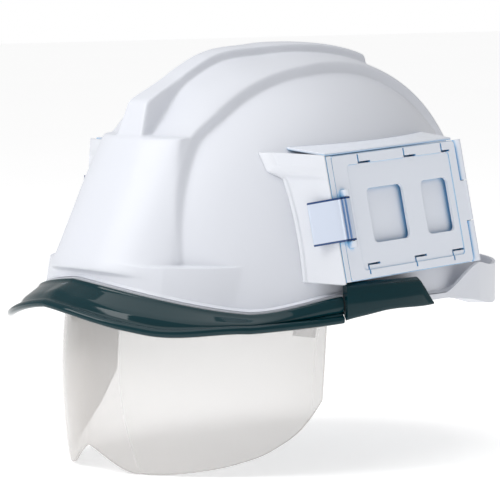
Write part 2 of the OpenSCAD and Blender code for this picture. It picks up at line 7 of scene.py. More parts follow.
import bmesh
import bpy
import numpy as np
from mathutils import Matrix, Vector


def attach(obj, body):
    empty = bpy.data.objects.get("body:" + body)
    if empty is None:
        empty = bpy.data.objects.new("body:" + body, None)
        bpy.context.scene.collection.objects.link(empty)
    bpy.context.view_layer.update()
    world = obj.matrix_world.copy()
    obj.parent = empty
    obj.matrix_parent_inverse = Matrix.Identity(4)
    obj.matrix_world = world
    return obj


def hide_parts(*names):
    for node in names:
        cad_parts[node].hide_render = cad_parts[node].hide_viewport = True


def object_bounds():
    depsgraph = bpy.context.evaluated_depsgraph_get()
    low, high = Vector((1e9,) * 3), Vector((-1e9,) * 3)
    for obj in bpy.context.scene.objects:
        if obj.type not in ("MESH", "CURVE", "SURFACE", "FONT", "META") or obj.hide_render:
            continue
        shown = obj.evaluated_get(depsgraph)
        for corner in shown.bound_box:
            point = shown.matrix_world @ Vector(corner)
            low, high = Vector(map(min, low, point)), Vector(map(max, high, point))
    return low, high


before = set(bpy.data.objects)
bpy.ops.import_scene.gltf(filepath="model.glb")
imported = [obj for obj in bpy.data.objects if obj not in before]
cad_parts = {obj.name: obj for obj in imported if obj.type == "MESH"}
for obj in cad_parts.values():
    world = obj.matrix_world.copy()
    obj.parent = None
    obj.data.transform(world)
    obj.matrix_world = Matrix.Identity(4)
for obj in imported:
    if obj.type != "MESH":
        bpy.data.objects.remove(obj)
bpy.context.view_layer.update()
MM = 0.001

# ---------------------------------------------------------------- hat shape
DOME_W, DOME_FRONT, DOME_REAR, DOME_TOP = 104, 122, 133, 117
BASE_Z = -27
PLAN_EXP, RISE_EXP = 2, 2.3
CROWN_BACK = 12
SHELL_T = 2.5
MID_RISE, CREST_H = 6, 5.5
PANEL_R, PANEL_Y, PANEL_Z, PANEL_TOP, PANEL_LEAN = 62, -135, 9, 79, 27
PANEL_FOOT, LEDGE_Z = 5, 10.5
FLARE_TOP, FLARE = 12, 6
EDGE = 1.5                      # rounding of the shell's moulded edges
CORNER_STEPS = 4                # straight pieces in each rounded corner of a swept outline


def mix(a, b, t):
    return a + (b - a) * t


def ramp(v, low, high):
    t = np.clip((v - low) / (high - low), 0, 1)
    return t * t * (3 - 2 * t)


def smooth_max(a, b, k=EDGE):
    return (a + b + np.sqrt((a - b) ** 2 + k * k)) / 2


def smooth_min(a, b, k=1.0):
    return (a + b - np.sqrt((a - b) ** 2 + k * k)) / 2


def dome_shift(z):
    """How far the dome leans back at a level."""
    return CROWN_BACK * np.clip((z - BASE_Z) / (DOME_TOP - BASE_Z), 0, 1) ** 1.5


def dome(x, y, z, grow):
    """Negative inside the dome grown by a thickness, in about millimetres."""
    flare = FLARE * np.clip((FLARE_TOP - z) / 36, 0, 1) ** 2
    v = y - dome_shift(z)
    length = np.where(v < 0, DOME_FRONT + flare, DOME_REAR) + grow
    plan_sum = (np.abs(x) / (DOME_W + grow + flare / 3)) ** PLAN_EXP + (np.abs(v) / length) ** PLAN_EXP
    rise = (np.maximum(z - BASE_Z, 0) / (DOME_TOP - BASE_Z + grow)) ** RISE_EXP
    return ((plan_sum ** (RISE_EXP / PLAN_EXP) + rise) ** (1 / RISE_EXP) - 1) * 110


def panel_half(z):
    """Half width of the front panel: widest at its foot."""
    return mix(51, 35, np.clip((z - 13) / 64, 0, 1))


def mid_band(x, y, z, grow):
    """The raised band over the top, as wide as the front panel where it comes down behind it."""
    front = mix(panel_half(z) + 0.5, 38, ramp(z, 78, 92))
    half = np.where(y < 0, front, mix(38, 31, np.clip(y / 55, 0, 1)))
    height = MID_RISE * np.where(y < 0, mix(0.4, 1, ramp(z, 10, 75)), 1) + crown_lift(x, y)
    return smooth_max(dome(x, y, z, grow + height), np.abs(x) - half - grow)


def crown_lift(x, y):
    """The band is a little fuller along its middle, in front of the crown."""
    return 3.5 * np.clip(1 - (x / 38) ** 2, 0, 1) * ramp(y, -85, -62) * (1 - ramp(y, -45, -8))


def crest_half(y):
    return np.clip(12 + y * 0.1, 8, 14)


def crest(x, y, z, grow):
    top = dome(x, y, z, grow + MID_RISE + CREST_H + crown_lift(x, y))
    return smooth_max(smooth_max(top, np.abs(x) - crest_half(y) - grow), np.abs(y + 2) - 68 - grow)


def crest_block(x, y, z, grow):
    """The crest's wedge-shaped front end."""
    top = (z - 97.4 - grow) * 0.894 - (y + 94) * 0.447
    front = -(y + 97.5 + grow) * 0.95 + (z - 80) * 0.28
    sides = np.abs(x) - crest_half(y) - 1 - grow - (97 - z) * 0.12
    return smooth_max(smooth_max(top, front), smooth_max(sides, y + 46))


def front_panel(x, y, z, grow):
    axis_y = PANEL_Y + PANEL_R + (z - PANEL_Z) * math.tan(math.radians(PANEL_LEAN))
    face = (np.hypot(x, y - axis_y) - PANEL_R - grow) * math.cos(math.radians(PANEL_LEAN))
    sides = np.abs(x) - panel_half(z) - grow
    bottom = PANEL_FOOT - grow - z + 0.4 * np.maximum(0, np.hypot(x, y) - 130)
    return smooth_max(smooth_max(face, sides), smooth_max(z - PANEL_TOP - grow, bottom))


def ledge(x, y, z, grow):
    """The ledge under the front panel, running out to a point along each side."""
    angle = np.degrees(np.arctan2(np.abs(x), -y))
    out = np.hypot(x, y) - rim_radius(angle) - grow + mix(1.5, 9, np.clip((angle - 24) / 22, 0, 1)) + 0.15 * z
    return smooth_max(out, z - LEDGE_Z - grow, 0.6)


def shell_value(x, y, z, grow):
    body = smooth_min(smooth_min(dome(x, y, z, grow), mid_band(x, y, z, grow)), ledge(x, y, z, grow), 0.6)
    front = smooth_min(front_panel(x, y, z, grow), crest_block(x, y, z, grow))
    return smooth_min(smooth_min(body, crest(x, y, z, grow)), front)


def reach(direction, grow, steps=22):
    """Distance from the dome's centre to the shell's surface along each direction."""
    low = np.full(direction.shape[:-1], 60.0)
    high = np.full(direction.shape[:-1], 190.0)
    for _ in range(steps):
        middle = (low + high) / 2
        p = direction * middle[..., None]
        inside = shell_value(p[..., 0], p[..., 1], p[..., 2] + BASE_Z, grow) < 0
        low = np.where(inside, middle, low)
        high = np.where(inside, high, middle)
    return (low + high) / 2


def dome_x(y, z, grow=0.0):
    """Half width of the plain dome at a place along its side."""
    rise = np.maximum(z - BASE_Z, 0) / (DOME_TOP - BASE_Z + grow)
    level = (1 - rise ** RISE_EXP) ** (PLAN_EXP / RISE_EXP)
    v = y - dome_shift(z)
    along = (np.abs(v) / (np.where(v < 0, DOME_FRONT, DOME_REAR) + grow)) ** PLAN_EXP
    return (DOME_W + grow) * np.maximum(level - along, 0) ** (1 / PLAN_EXP)


# ---------------------------------------------------------------- rim line
def rim_z(a):
    """Level of the rim at plan angles in degrees; 0 is the front."""
    b = np.abs((a + 180) % 360 - 180)
    front = mix(0, -16.5, (np.clip(b / 46, 0, 1) + ramp(b, 0, 46)) / 2)
    return front + 8.5 * ramp(b, 46, 76) - 4.7 * ramp(b, 84, 106) - 7.5 * ramp(b, 114, 142)


def plan(a):
    """Unit directions in plan, x and y only."""
    r = np.radians(a)
    return np.stack([np.sin(r), -np.cos(r)], -1)


def level_plan(a):
    """Unit directions in plan with a zero height."""
    return np.insert(plan(a), 2, 0, axis=-1)


def rim_radius(a, grow=0.0):
    d = plan(a)
    length = np.where(d[..., 1] < 0, DOME_FRONT + 12, DOME_REAR + 3) + grow
    return 1 / np.hypot(d[..., 0] / (DOME_W + 3 + grow), d[..., 1] / length)


def rim_point(a, out, z):
    d = plan(a) * np.asarray(rim_radius(a, out))[..., None]
    return np.concatenate([d, np.broadcast_to(z, d.shape[:-1])[..., None]], -1)


def gutter(a):
    return ramp(plan(a)[..., 1], 0.42, 0.62)


# ---------------------------------------------------------------- mesh helpers
def make_mesh(name, points_mm, faces, body, material, replaces=()):
    mesh = bpy.data.meshes.new(name)
    mesh.from_pydata((np.asarray(points_mm, float).reshape(-1, 3) * MM).tolist(), [], faces)
    mesh.validate()
    mesh.materials.append(material)
    piece = bpy.data.objects.new(name, mesh)
    bpy.context.scene.collection.objects.link(piece)
    make_normals_consistent(mesh)
    for polygon in mesh.polygons:
        polygon.use_smooth = True
    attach(piece, body)
    if replaces:
        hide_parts(*replaces)
    return piece


def make_normals_consistent(mesh):
    bm = bmesh.new()
    bm.from_mesh(mesh)
    bmesh.ops.recalc_face_normals(bm, faces=bm.faces)
    bm.to_mesh(mesh)
    bm.free()


def grid_faces(rows, columns, wrap_rows=False, wrap_columns=False, start=0):
    """Quads over a grid of points stored row by row."""
    faces = []
    for i in range(rows if wrap_rows else rows - 1):
        k = (i + 1) % rows
        for j in range(columns if wrap_columns else columns - 1):
            m = (j + 1) % columns
            faces.append((start + i * columns + j, start + i * columns + m,
                          start + k * columns + m, start + k * columns + j))
    return faces


def swept(name, rings, body, material, replaces=()):
    """A solid through a stack of rings, an array of (rings, points, 3)."""
    rings = np.asarray(rings, float)
    count, n = rings.shape[:2]
    faces = grid_faces(count, n, wrap_columns=True)
    faces += [tuple(range(n)), tuple(range((count - 1) * n, count * n))]
    return make_mesh(name, rings, faces, body, material, replaces)


def apply_modifiers(piece):
    """Bakes a piece's modifiers into its mesh."""
    evaluated = piece.evaluated_get(bpy.context.evaluated_depsgraph_get())
    mesh = bpy.data.meshes.new_from_object(evaluated)
    piece.modifiers.clear()
    piece.data = mesh


def bevel(piece, width_mm, segments, angle):
    modifier = piece.modifiers.new("edges", "BEVEL")
    modifier.width = width_mm * MM
    modifier.segments = segments
    modifier.limit_method = "ANGLE"
    modifier.angle_limit = math.radians(angle)
    modifier.harden_normals = True
    apply_modifiers(piece)


def round_ring(outline, radius):
    """Rounds the corners of closed outlines in a plane of (out, up) coordinates."""
    outline = np.asarray(outline, float)
    before = np.roll(outline, 1, axis=-2)
    after = np.roll(outline, -1, axis=-2)
    points = []
    for j in range(outline.shape[-2]):
        p, a, b = outline[..., j, :], before[..., j, :], after[..., j, :]
        to_a, to_b = a - p, b - p
        reach_a = np.minimum(radius, 0.45 * np.linalg.norm(to_a, axis=-1))[..., None]
        reach_b = np.minimum(radius, 0.45 * np.linalg.norm(to_b, axis=-1))[..., None]
        start = p + to_a / np.linalg.norm(to_a, axis=-1)[..., None] * reach_a
        end = p + to_b / np.linalg.norm(to_b, axis=-1)[..., None] * reach_b
        for t in np.linspace(0, 1, CORNER_STEPS + 1):
            points.append((1 - t) ** 2 * start + 2 * t * (1 - t) * p + t * t * end)
    return np.stack(points, axis=-2)


# ---------------------------------------------------------------- materials
class Nodes:
    """Short calls for building one material's node tree."""

    def __init__(self, name):
        self.material = bpy.data.materials.new(name)
        self.material.use_nodes = True
        self.tree = self.material.node_tree
        self.tree.nodes.clear()
        self.shader = self.add("ShaderNodeBsdfPrincipled")
        self.output = self.add("ShaderNodeOutputMaterial")
        self.join(self.shader, 0, self.output, "Surface")
        self.place = self.add("ShaderNodeTexCoord")

    def add(self, kind, **settings):
        node = self.tree.nodes.new(kind)
        for key, value in settings.items():
            setattr(node, key, value)
        return node

    def join(self, source, output, target, socket):
        self.tree.links.new(source.outputs[output], target.inputs[socket])

    def set(self, **values):
        for key, value in values.items():
            socket = self.shader.inputs[key.replace("_", " ")]
            socket.default_value = (*value, 1) if isinstance(value, tuple) else value

    def noise(self, scale, detail=3.0, rough=0.5):
        node = self.add("ShaderNodeTexNoise")
        node.inputs["Scale"].default_value = scale
        node.inputs["Detail"].default_value = detail
        node.inputs["Roughness"].default_value = rough
        self.join(self.place, "Object", node, "Vector")
        return node

    def spread(self, source, output, low, high, socket):
        """Maps a 0 to 1 texture onto a range of one shader socket."""
        node = self.add("ShaderNodeMapRange")
        node.inputs["To Min"].default_value = low
        node.inputs["To Max"].default_value = high
        self.join(source, output, node, "Value")
        if socket:
            self.join(node, 0, self.shader, socket)
        return node

    def colours(self, source, output, low, high, middle=None):
        ramp_node = self.add("ShaderNodeValToRGB")
        ramp_node.color_ramp.elements[0].color = (*low, 1)
        ramp_node.color_ramp.elements[1].color = (*high, 1)
        if middle:
            ramp_node.color_ramp.elements.new(0.5).color = (*middle, 1)
        self.join(source, output, ramp_node, "Fac")
        self.join(ramp_node, "Color", self.shader, "Base Color")
        return ramp_node

    def bump(self, source, output, depth_mm, rounded_mm=0.0):
        node = self.add("ShaderNodeBump")
        node.inputs["Strength"].default_value = 1.0
        node.inputs["Distance"].default_value = depth_mm * MM
        self.join(source, output, node, "Height")
        if rounded_mm:
            edge = self.add("ShaderNodeBevel", samples=4)
            edge.inputs["Radius"].default_value = rounded_mm * MM
            self.join(edge, 0, node, "Normal")
        self.join(node, 0, self.shader, "Normal")
        return node


def moulded(name, colour, rough, grain_scale, grain_mm, rounded_mm=0.0, coat=0.0, tone=0.04):
    """Opaque moulded plastic with a fine surface grain and slight tone changes."""
    n = Nodes(name)
    wide = n.noise(18, 2)
    fine = n.noise(grain_scale, 4)
    darker = tuple(c * (1 - tone) for c in colour)
    n.colours(wide, "Fac", darker, colour)
    n.spread(fine, "Fac", rough * 0.95, rough * 1.05, "Roughness")
    n.bump(fine, "Fac", grain_mm, rounded_mm=rounded_mm)
    n.set(IOR=1.5, Coat_Weight=coat, Coat_Roughness=0.08)
    return n.material


def clear(name, colour, alpha, edge_alpha, rough, rounded_mm=0.0, gloss=0.5):
    """Clear moulding: see-through face on, denser where it is seen edge on."""
    n = Nodes(name)
    fine = n.noise(60, 3)
    n.spread(fine, "Fac", rough * 0.7, rough * 1.4, "Roughness")
    n.bump(fine, "Fac", 0.02, rounded_mm=rounded_mm)
    facing = n.add("ShaderNodeLayerWeight")
    facing.inputs["Blend"].default_value = 0.35
    n.spread(facing, "Facing", alpha, edge_alpha, "Alpha")
    n.set(Base_Color=colour, IOR=1.49, Specular_IOR_Level=gloss)
    return n.material


def milky(name, colour, shade_blue, rough):
    """Cloudy clear moulding: pale on its open faces, and blue in its slots and inner corners, where the blue
    is painted shade and painted edge refraction laid by ambient occlusion.
    """
    n = Nodes(name)
    fine = n.noise(200, 3)
    n.spread(fine, "Fac", rough * 0.8, rough * 1.3, "Roughness")
    n.bump(fine, "Fac", 0.004, rounded_mm=0.5)
    # painted shade: ambient occlusion within 4 mm turns slots and inner corners towards the blue shade colour
    depth = n.add("ShaderNodeAmbientOcclusion", samples=8)
    depth.inputs["Distance"].default_value = 4 * MM
    blend = n.colours(depth, "AO", shade_blue, colour)
    blend.color_ramp.elements[0].position = 0.25
    blend.color_ramp.elements[1].position = 0.8
    n.set(IOR=1.49, Coat_Weight=0.3, Coat_Roughness=0.05)
    return n.material


def metal(name, colour, rough):
    """Turned steel: fine rings of tool marks."""
    n = Nodes(name)
    marks = n.add("ShaderNodeTexWave", wave_type="RINGS", rings_direction="SPHERICAL")
    marks.inputs["Scale"].default_value = 400
    marks.inputs["Distortion"].default_value = 2
    n.join(n.place, "Object", marks, "Vector")
    n.colours(marks, "Fac", tuple(c * 0.85 for c in colour), colour)
    n.spread(marks, "Fac", rough * 0.8, rough * 1.3, "Roughness")
    n.bump(marks, "Fac", 0.01)
    n.set(Metallic=1.0)
    return n.material


def beaded(name, colour, seam):
    """Expanded foam: rounded beads pressed together, with darker seams between them."""
    n = Nodes(name)
    beads = n.add("ShaderNodeTexVoronoi", feature="DISTANCE_TO_EDGE")
    beads.inputs["Scale"].default_value = 320
    n.join(n.place, "Object", beads, "Vector")
    edge = n.spread(beads, "Distance", 0, 1, None)
    edge.inputs["From Max"].default_value = 0.15
    n.colours(edge, 0, seam, colour)
    n.bump(edge, 0, 0.25)
    n.set(Roughness=0.85, IOR=1.4)
    return n.material


def woven(name, colour, gap, threads, depth_mm):
    """Cloth: two sets of threads crossing, over slow changes of roughness."""
    n = Nodes(name)
    weave = n.add("ShaderNodeMath", operation="MULTIPLY")
    for slot, direction in enumerate(("X", "Z")):
        thread = n.add("ShaderNodeTexWave", bands_direction=direction)
        thread.inputs["Scale"].default_value = threads
        thread.inputs["Distortion"].default_value = 0.6
        n.join(n.place, "Object", thread, "Vector")
        n.tree.links.new(thread.outputs["Fac"], weave.inputs[slot])
    n.colours(weave, 0, gap, colour)
    n.spread(n.noise(60, 3), "Fac", 0.75, 0.95, "Roughness")
    n.bump(weave, 0, depth_mm)
    n.set(Sheen_Weight=0.2)
    return n.material


# painted shade: a dark blue laid on the latch's edge bands in place of gap shade and edge refraction
painted_edge_shade = moulded("painted_edge_shade", (0.03, 0.07, 0.2), 0.15, 200, 0.002, tone=0.2)
shell_white = moulded("shell_white", (0.70, 0.72, 0.775), 0.42, 120, 0.0004, coat=0.04, tone=0.01)
bracket_white = moulded("bracket_white", (0.72, 0.74, 0.79), 0.35, 300, 0.0006, rounded_mm=0.8, tone=0.015)
clear_green = clear("clear_green", (0.001, 0.026, 0.034), 0.985, 0.995, 0.05, gloss=0.3)
clear_smoke = clear("clear_smoke", (0.60, 0.575, 0.555), 0.32, 0.95, 0.08)
# the second colour of each milky material is painted shade, laid by ambient occlusion into slots and inner
# corners
case_clear = milky("case_clear", (0.82, 0.86, 0.94), (0.10, 0.50, 0.85), 0.2)
latch_clear = milky("latch_clear", (0.62, 0.68, 0.80), (0.10, 0.30, 0.65), 0.12)
rail_clear = clear("rail_clear", (0.75, 0.76, 0.78), 0.25, 0.6, 0.12)
white_nylon = moulded("white_nylon", (0.75, 0.76, 0.78), 0.45, 500, 0.02, rounded_mm=0.3)
steel = metal("steel", (0.62, 0.62, 0.63), 0.28)
foam = beaded("foam", (0.82, 0.82, 0.80), (0.66, 0.66, 0.64))
grey_plastic = moulded("grey_plastic", (0.34, 0.35, 0.37), 0.5, 700, 0.03, rounded_mm=0.4)
dark_plastic = moulded("dark_plastic", (0.035, 0.036, 0.04), 0.45, 700, 0.03, rounded_mm=0.4)
webbing = woven("webbing", (0.70, 0.71, 0.74), (0.46, 0.47, 0.50), 380, 0.25)
pad_fabric = woven("pad_fabric", (0.10, 0.105, 0.12), (0.03, 0.032, 0.038), 480, 0.3)


# ---------------------------------------------------------------- shell
COLUMNS = 900
ROWS = 300


def dome_rows(angles, rise, grow, rows):
    """Points from just above the rim up to just below the crown, by column."""
    low = np.degrees(np.arctan((rim_z(angles) - BASE_Z + rise) / rim_radius(angles)))
    t = np.arange(rows) / rows
    e = np.radians(mix(low[:, None], 90, t[None, :]))
    d = plan(angles)[:, None, :] * np.cos(e)[..., None]
    direction = np.concatenate([d, np.sin(e)[..., None]], -1)
    return direction * reach(direction, grow)[..., None] + [0, 0, BASE_Z]


def rim_rows(angles):
    """The rim's own section: inner foot, lip, and the gutter behind it."""
    g = gutter(angles)
    z = rim_z(angles)
    out = 1 + 8 * g
    top = z + 3 + 19 * g
    return np.stack([
        rim_point(angles, -SHELL_T, z), rim_point(angles, out, z), rim_point(angles, out, top),
        rim_point(angles, out - 1.8, top), rim_point(angles, 0.2 + 0.6 * g, z + 3.4 + 3 * g)], 1)


def domed(name, columns, crowns, material, replaces):
    """A domed skin: each column runs from the inner crown out, round the rim and up to the outer one."""
    count, n = columns.shape[:2]
    faces = grid_faces(count, n, wrap_rows=True)
    for i in range(count):
        k = (i + 1) % count
        faces.append((i * n, count * n, k * n))
        faces.append((i * n + n - 1, k * n + n - 1, count * n + 1))
    return make_mesh(name, np.concatenate([columns.reshape(-1, 3), crowns]), faces, "hat", material, replaces)


def make_shell():
    angles = np.arange(COLUMNS) * 360 / COLUMNS
    inner = dome_rows(angles, 2, -SHELL_T, ROWS // 3)[:, ::-1]
    outer = dome_rows(angles, 5 + 5 * gutter(angles), 0, ROWS)
    crowns = [[0, 0, BASE_Z + float(reach(np.array([0, 0, 1.0]), g))] for g in (-SHELL_T, 0)]
    columns = np.concatenate([inner, rim_rows(angles), outer], 1)
    piece = domed("hard_shell", columns, crowns, shell_white, ["outer_shell"])
    mark_sharp(piece, 40)
    shade_from_shape(piece, columns.shape[1], columns.shape[1] - ROWS + 2)
    return piece


def shade_from_shape(piece, column, first):
    """Takes the outer surface's normals from the shape's own slope, which keeps its creases clean."""
    mesh = piece.data
    points = np.empty(len(mesh.vertices) * 3)
    mesh.vertices.foreach_get("co", points)
    x, y, z = points.reshape(-1, 3).T / MM
    step = 0.4
    slope = np.stack([
        shell_value(x + step, y, z, 0) - shell_value(x - step, y, z, 0),
        shell_value(x, y + step, z, 0) - shell_value(x, y - step, z, 0),
        shell_value(x, y, z + step, 0) - shell_value(x, y, z - step, 0)], -1)
    slope /= np.linalg.norm(slope, axis=1)[:, None]
    corners = np.empty(len(mesh.loops), int)
    mesh.loops.foreach_get("vertex_index", corners)
    normals = np.empty(len(mesh.loops) * 3)
    mesh.corner_normals.foreach_get("vector", normals)
    normals = normals.reshape(-1, 3)
    outer = (corners % column >= first) & (corners < len(x) - 2)
    normals[outer] = slope[corners[outer]]
    mesh.normals_split_custom_set(normals.tolist())


def mark_sharp(piece, angle):
    """Keeps the crease between two faces that meet at more than an angle."""
    piece.data.set_sharp_from_angle(angle=math.radians(angle))


make_shell()


# ---------------------------------------------------------------- brim
BRIM_OUT, BRIM_T, BRIM_END = 24, 2.4, 72
BEAD = 2.6


def brim_width(a):
    return BRIM_OUT - 3 * ramp(np.abs(a), 5, 30) - 14 * ramp(np.abs(a), 28, 68)


def brim_drop(a):
    b = np.abs(a)
    return 9.5 + 3 * ramp(b, 0, 20) - 8 * ramp(b, 24, 46) + 5 * ramp(b, 48, 72)


def lift(a, outline):
    """Stands an outline of (out, up) points up on the rim, one for each angle."""
    return np.stack([rim_point(a, outline[:, j, 0], outline[:, j, 1]) for j in range(outline.shape[1])], 1)


def make_brim():
    a = np.linspace(-BRIM_END, BRIM_END, 361)
    z, w, drop = rim_z(a) - 0.4, brim_width(a), -brim_drop(a)
    ridge = 1.5 * (1 - ramp(np.abs(a), 0, 5))
    outline = np.stack([np.stack(np.broadcast_arrays(x, y), -1) for x, y in [
        (-2, z - 4), (-2, z), (1.4, z), (1.7, z + 2.6), (3.4, z + 2.8), (4.6, z + 1),
        (mix(4.6, w, 0.5), z + drop * 0.42 + ridge), (w - 2 * BEAD, z + drop * 0.86),
        (w - BEAD, z + drop + BEAD), (w, z + drop + BEAD * 0.4), (w, z + drop - BEAD * 0.6),
        (w - BEAD, z + drop - BEAD), (w - 2 * BEAD, z + drop * 0.9 - BRIM_T),
        (mix(4.6, w, 0.5), z + drop * 0.45 + ridge - BRIM_T)]], 1)
    piece = swept("brim", lift(a, round_ring(outline, 2.0)), "hat", clear_green, ["front_brim"])
    mark_sharp(piece, 50)
    return piece


make_brim()

# ---------------------------------------------------------------- face shield
SHIELD_W, SHIELD_T = 93, 2
SHIELD_FRONT, SHIELD_REAR, SHIELD_EXP = 129, 32, 1.7
AXIS_Y, AXIS_Z = 128, -55


def shield_point(x, angle, inset):
    """A point on the shield's surface of revolution, at an angle above level."""
    share = np.clip(np.abs(x) / SHIELD_W, 0, 1)
    depth = SHIELD_FRONT - 30 - inset
    radius = AXIS_Y + 30 + depth * (1 - share ** SHIELD_EXP) ** (1 / SHIELD_EXP)
    a = np.radians(angle)
    scale = (SHIELD_W - inset) / SHIELD_W
    return np.stack([x * scale, AXIS_Y - radius * np.cos(a), AXIS_Z + radius * np.sin(a)], -1)


CORNER_Y = (-140, -118, -104, -86, -68, -51, -40, -36, -30)
CORNER_Z = (-105, -105, -104, -100, -93.5, -82.5, -70, -64, -56)


def shield_bottom(x, y):
    """Level of the lower edge: a notch for the nose, two lobes, cut-away corners."""
    notch = -90 - 14.5 * ramp(np.abs(x), -4, 30)
    corner = sum(np.interp(y + d, CORNER_Y, CORNER_Z) for d in (-4, -2, 0, 2, 4)) / 5
    return np.maximum(notch, corner)


def shield_top(x, y):
    return np.interp(y, [-140, -70, -32], [-6, -11, -10])


def shield_share(angle):
    """How far across the rear edge lies, as a share of the half width."""
    y_edge = -34.0
    for _ in range(4):
        radius = (AXIS_Y - y_edge) / np.cos(np.radians(angle))
        z = AXIS_Z + radius * np.sin(np.radians(angle))
        y_edge = np.clip(mix(-SHIELD_REAR, -SHIELD_REAR - 4, (-10 - z) / 54), -36.5, -31.5)
    depth = (radius - AXIS_Y - 30) / (SHIELD_FRONT - 30)
    return (1 - depth ** SHIELD_EXP) ** (1 / SHIELD_EXP)


def solve_edge(across, edge):
    """The angle at which each column of the shield meets an edge line."""
    low, high = np.full(across.shape, -14.0), np.full(across.shape, 20.0)
    for _ in range(30):
        angle = (low + high) / 2
        p = shield_point(across * shield_share(angle) * SHIELD_W, angle, 0)
        below = p[..., 2] < edge(p[..., 0], p[..., 1])
        low, high = np.where(below, angle, low), np.where(below, high, angle)
    return (low + high) / 2


def make_shield():
    columns, rows = ((301, 71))
    across = np.linspace(-1, 1, columns)
    bottom, top = solve_edge(across, shield_bottom), solve_edge(across, shield_top)
    angle = mix(bottom[:, None], top[:, None], np.linspace(0, 1, rows)[None, :])
    x = across[:, None] * shield_share(angle) * SHIELD_W
    skins = [shield_point(x, angle, inset) for inset in (0, SHIELD_T)]
    count = columns * rows
    faces = grid_faces(columns, rows) + [f[::-1] for f in grid_faces(columns, rows, start=count)]
    border = ([i * rows for i in range(columns)] + [(columns - 1) * rows + j for j in range(1, rows)]
              + [i * rows + rows - 1 for i in range(columns - 2, -1, -1)] + list(range(rows - 2, 0, -1)))
    for i, a in enumerate(border):
        b = border[(i + 1) % len(border)]
        faces.append((a, b, b + count, a + count))
    piece = make_mesh("face_shield_lens", np.concatenate([k.reshape(-1, 3) for k in skins]), faces,
                      "shield", clear_smoke, ["face_shield"])
    bevel(piece, 0.6, 3, 50)
    return piece


make_shield()

# ---------------------------------------------------------------- rim panels
PANEL_START, PANEL_END, COVER_CUT = 72.6, 104, 5
COVER_TOP, COVER_DROP = 1.2, (11, 1.5)


def mirrored(points, side):
    """The wearer's left is +X; the right side is its mirror image."""
    return np.asarray(points) * [side, 1, 1]


def make_rim_panel(side, name):
    a = np.linspace(PANEL_START, PANEL_END, 121)
    z, cut = rim_z(a), np.clip((a - PANEL_END + COVER_CUT) / COVER_CUT, 0, 1)
    top = mix(COVER_TOP, z + 1.5, cut)
    drop = np.linspace(*COVER_DROP, len(a))
    outline = np.stack([np.stack(np.broadcast_arrays(x, y), -1) for x, y in [
        (1.5, z - 0.57 * drop), (1.5, top), (3.5, top + 0.8), (7, top - mix(2, 1, cut)),
        (8, z - 0.86 * drop), (6, z - drop)]], 1)
    rings = mirrored(lift(a, round_ring(outline, 1.2)), side)
    piece = swept(name + "_rim_cover", rings, "hat", clear_green, [name + "_rim_panel"])
    mark_sharp(piece, 50)


# ---------------------------------------------------------------- card case parts
CASE_AT = np.array([117, -39.3, 2.6])
CASE_YAW, CASE_PITCH, CASE_LEAN = 5.34, 2.6, 11
CASE_L, CASE_H, CASE_D = 106, 69, 6
HORN_H = 11


def from_case(points):
    """Case frame (out of the face, rearward, up) to the hat's frame."""
    x, y, z = np.moveaxis(np.asarray(points, float), -1, 0)
    lean, pitch, yaw = (math.radians(v) for v in (-CASE_LEAN, CASE_PITCH, CASE_YAW))
    x, z = x * math.cos(lean) + z * math.sin(lean), z * math.cos(lean) - x * math.sin(lean)
    y, z = y * math.cos(pitch) - z * math.sin(pitch), y * math.sin(pitch) + z * math.cos(pitch)
    x, y = x * math.cos(yaw) - y * math.sin(yaw), x * math.sin(yaw) + y * math.cos(yaw)
    return np.stack([x, y, z], -1) + CASE_AT


def in_case(x, y, z):
    return from_case(np.stack(np.broadcast_arrays(x, y, z), -1).astype(float))


def make_bracket(side, name):
    """The wedge from the shell to the case's front corner, with its horn on top."""
    z = np.linspace(-1, CASE_H + 1, 96)
    horn = ramp(z, CASE_H - HORN_H - 3, CASE_H - HORN_H + 2)
    outer, knee, back = in_case(-0.1, -1.3, z), in_case(-2, -2.4, z), in_case(-CASE_D, -1.3, z)
    w = outer[:, 2]

    def on_shell(y, level, out):
        y, level = np.broadcast_arrays(np.asarray(y, float), level)
        return np.stack([dome_x(y, level) + out, y, level], -1)

    front = -51 - 6 * horn
    ring = np.stack([outer, knee, on_shell(-50 - 3 * horn, w, 2.4 + 2.5 * horn), on_shell(front, w, 2.4),
                     on_shell(front - 0.5, w, 0.3), on_shell(-43, w - 0.5, 0.3), back], 1)
    piece = swept(name + "_bracket", mirrored(ring, side), "hat", bracket_white, [name + "_case_bracket"])
    bevel(piece, 0.5, 2, 30)


def make_flange(side, name):
    """The thin clear flange from the top of a case up to the shell."""
    y = np.linspace(1, CASE_L - 2, 60)
    outer = in_case(-3, y, CASE_H + 0.3)
    w, z = outer[:, 1], outer[:, 2] + 2.2
    ring = np.stack([outer, np.stack([dome_x(w, z) + 0.4, w, z], -1),
                     np.stack([dome_x(w, z + 1.4) + 0.4, w, z + 1.4], -1), outer + [0, 0, 1.4]], 1)
    piece = swept(name + "_flange", mirrored(ring, side), "hat", case_clear, [name + "_top_flange"])
    bevel(piece, 0.3, 2, 40)


LATCH_LOW, LATCH_HIGH, LATCH_X, LATCH_Y, LATCH_R = 22, 46, 2.1, 7, 2.0
RIB_Y = (-1, 1.6, 4.2)


def latch_outline():
    """The latch seen from above: hook, face with three ribs, and the knuckle round its pin."""
    points = [(0.9, 5.2), (0.7, -1.2), (-11.3, -8.1), (-11.9, -9.5), (-10.6, -9.6), (1, -3.1), (2.9, -1.6)]
    for y in RIB_Y:
        points += [(3.5, y), (4.7, y + 0.15), (4.7, y + 0.85), (3.6, y + 1)]
    for turn in np.radians(np.linspace(20, 200, 13)):
        points.append((LATCH_X + LATCH_R * math.cos(turn), LATCH_Y + LATCH_R * math.sin(turn)))
    return np.array(points)


